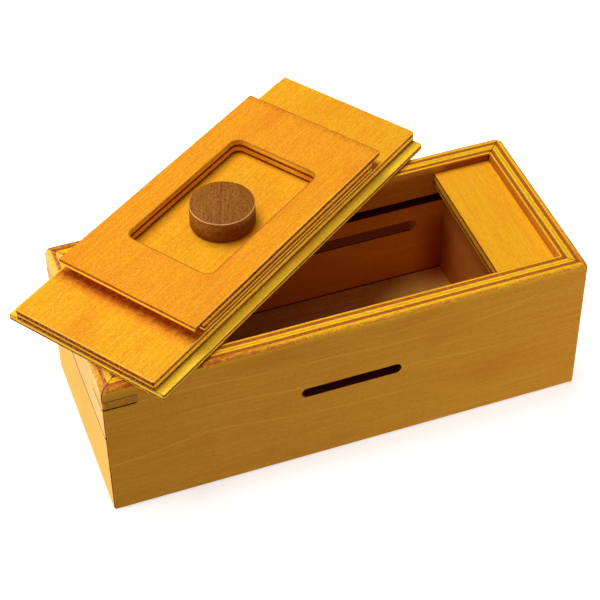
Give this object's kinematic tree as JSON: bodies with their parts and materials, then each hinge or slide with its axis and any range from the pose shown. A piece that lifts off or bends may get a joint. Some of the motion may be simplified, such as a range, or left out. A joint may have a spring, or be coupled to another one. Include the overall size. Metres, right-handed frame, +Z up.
{
  "type": "puzzle box",
  "caption": "Open rectangular plywood puzzle box with a coin slot, a note slot, sliding ends and a stepped knobbed lid lying across its rim.",
  "frame": {"origin": "middle of the box's flat underside; the lid overhangs the box, so this is not the middle of the whole outline", "axes": "+Z up; +X along the box towards the end that pulls out; +Y from the front wall with the coin slot to the back wall with the note slot"},
  "size_m": [0.2112, 0.1548, 0.0809],
  "materials": {
    "honey_plywood": "satin lacquer over stained birch plywood, plies showing on every edge",
    "amber_plywood": "satin lacquer over amber-stained birch plywood",
    "plain_plywood": "thin stained birch plywood, matt inside the box",
    "dowel_wood": "solid stained hardwood",
    "dark_wood": "dark stained turned hardwood, satin"
  },
  "bodies": {
    "box": {"front_wall": "honey_plywood", "back_wall": "honey_plywood", "floor_board": "plain_plywood", "left_end_rail": "honey_plywood", "left_ledge": "amber_plywood", "front_left_corner_key": "dowel_wood", "back_left_corner_key": "dowel_wood", "left_divider": "plain_plywood", "right_divider": "plain_plywood", "left_stop_peg": "dowel_wood", "right_stop_peg": "dowel_wood"},
    "left_panel": {"left_end_panel": "honey_plywood", "left_panel_runner": "plain_plywood"},
    "right_panel": {"right_end_panel": "honey_plywood", "right_panel_runner": "plain_plywood"},
    "end_block": {"right_end_rail": "honey_plywood", "right_ledge": "amber_plywood"},
    "lid": {"lid_bottom_board": "amber_plywood", "lid_middle_board": "amber_plywood", "lid_top_board": "amber_plywood"},
    "knob": {"knob": "dark_wood", "knob_pin": "dark_wood"}
  },
  "joints": [
    {"name": "lid_lift", "type": "slide", "parent": "box", "child": "lid", "axis": [0, 0, 1], "range_m": [0, 0.08]},
    {"name": "knob_turn", "type": "hinge", "parent": "lid", "child": "knob", "pos_m": [-0.02859, 0.02286, 0.0717], "axis": [0, 0, 1], "continuous": true},
    {"name": "end_block_slide", "type": "slide", "parent": "box", "child": "end_block", "axis": [1, 0, 0], "range_m": [0, 0.028]},
    {"name": "left_panel_drop", "type": "slide", "parent": "box", "child": "left_panel", "axis": [0, 0, -1], "range_m": [0, 0.006]},
    {"name": "right_panel_drop", "type": "slide", "parent": "box", "child": "right_panel", "axis": [0, 0, -1], "range_m": [0, 0.006]}
  ]
}
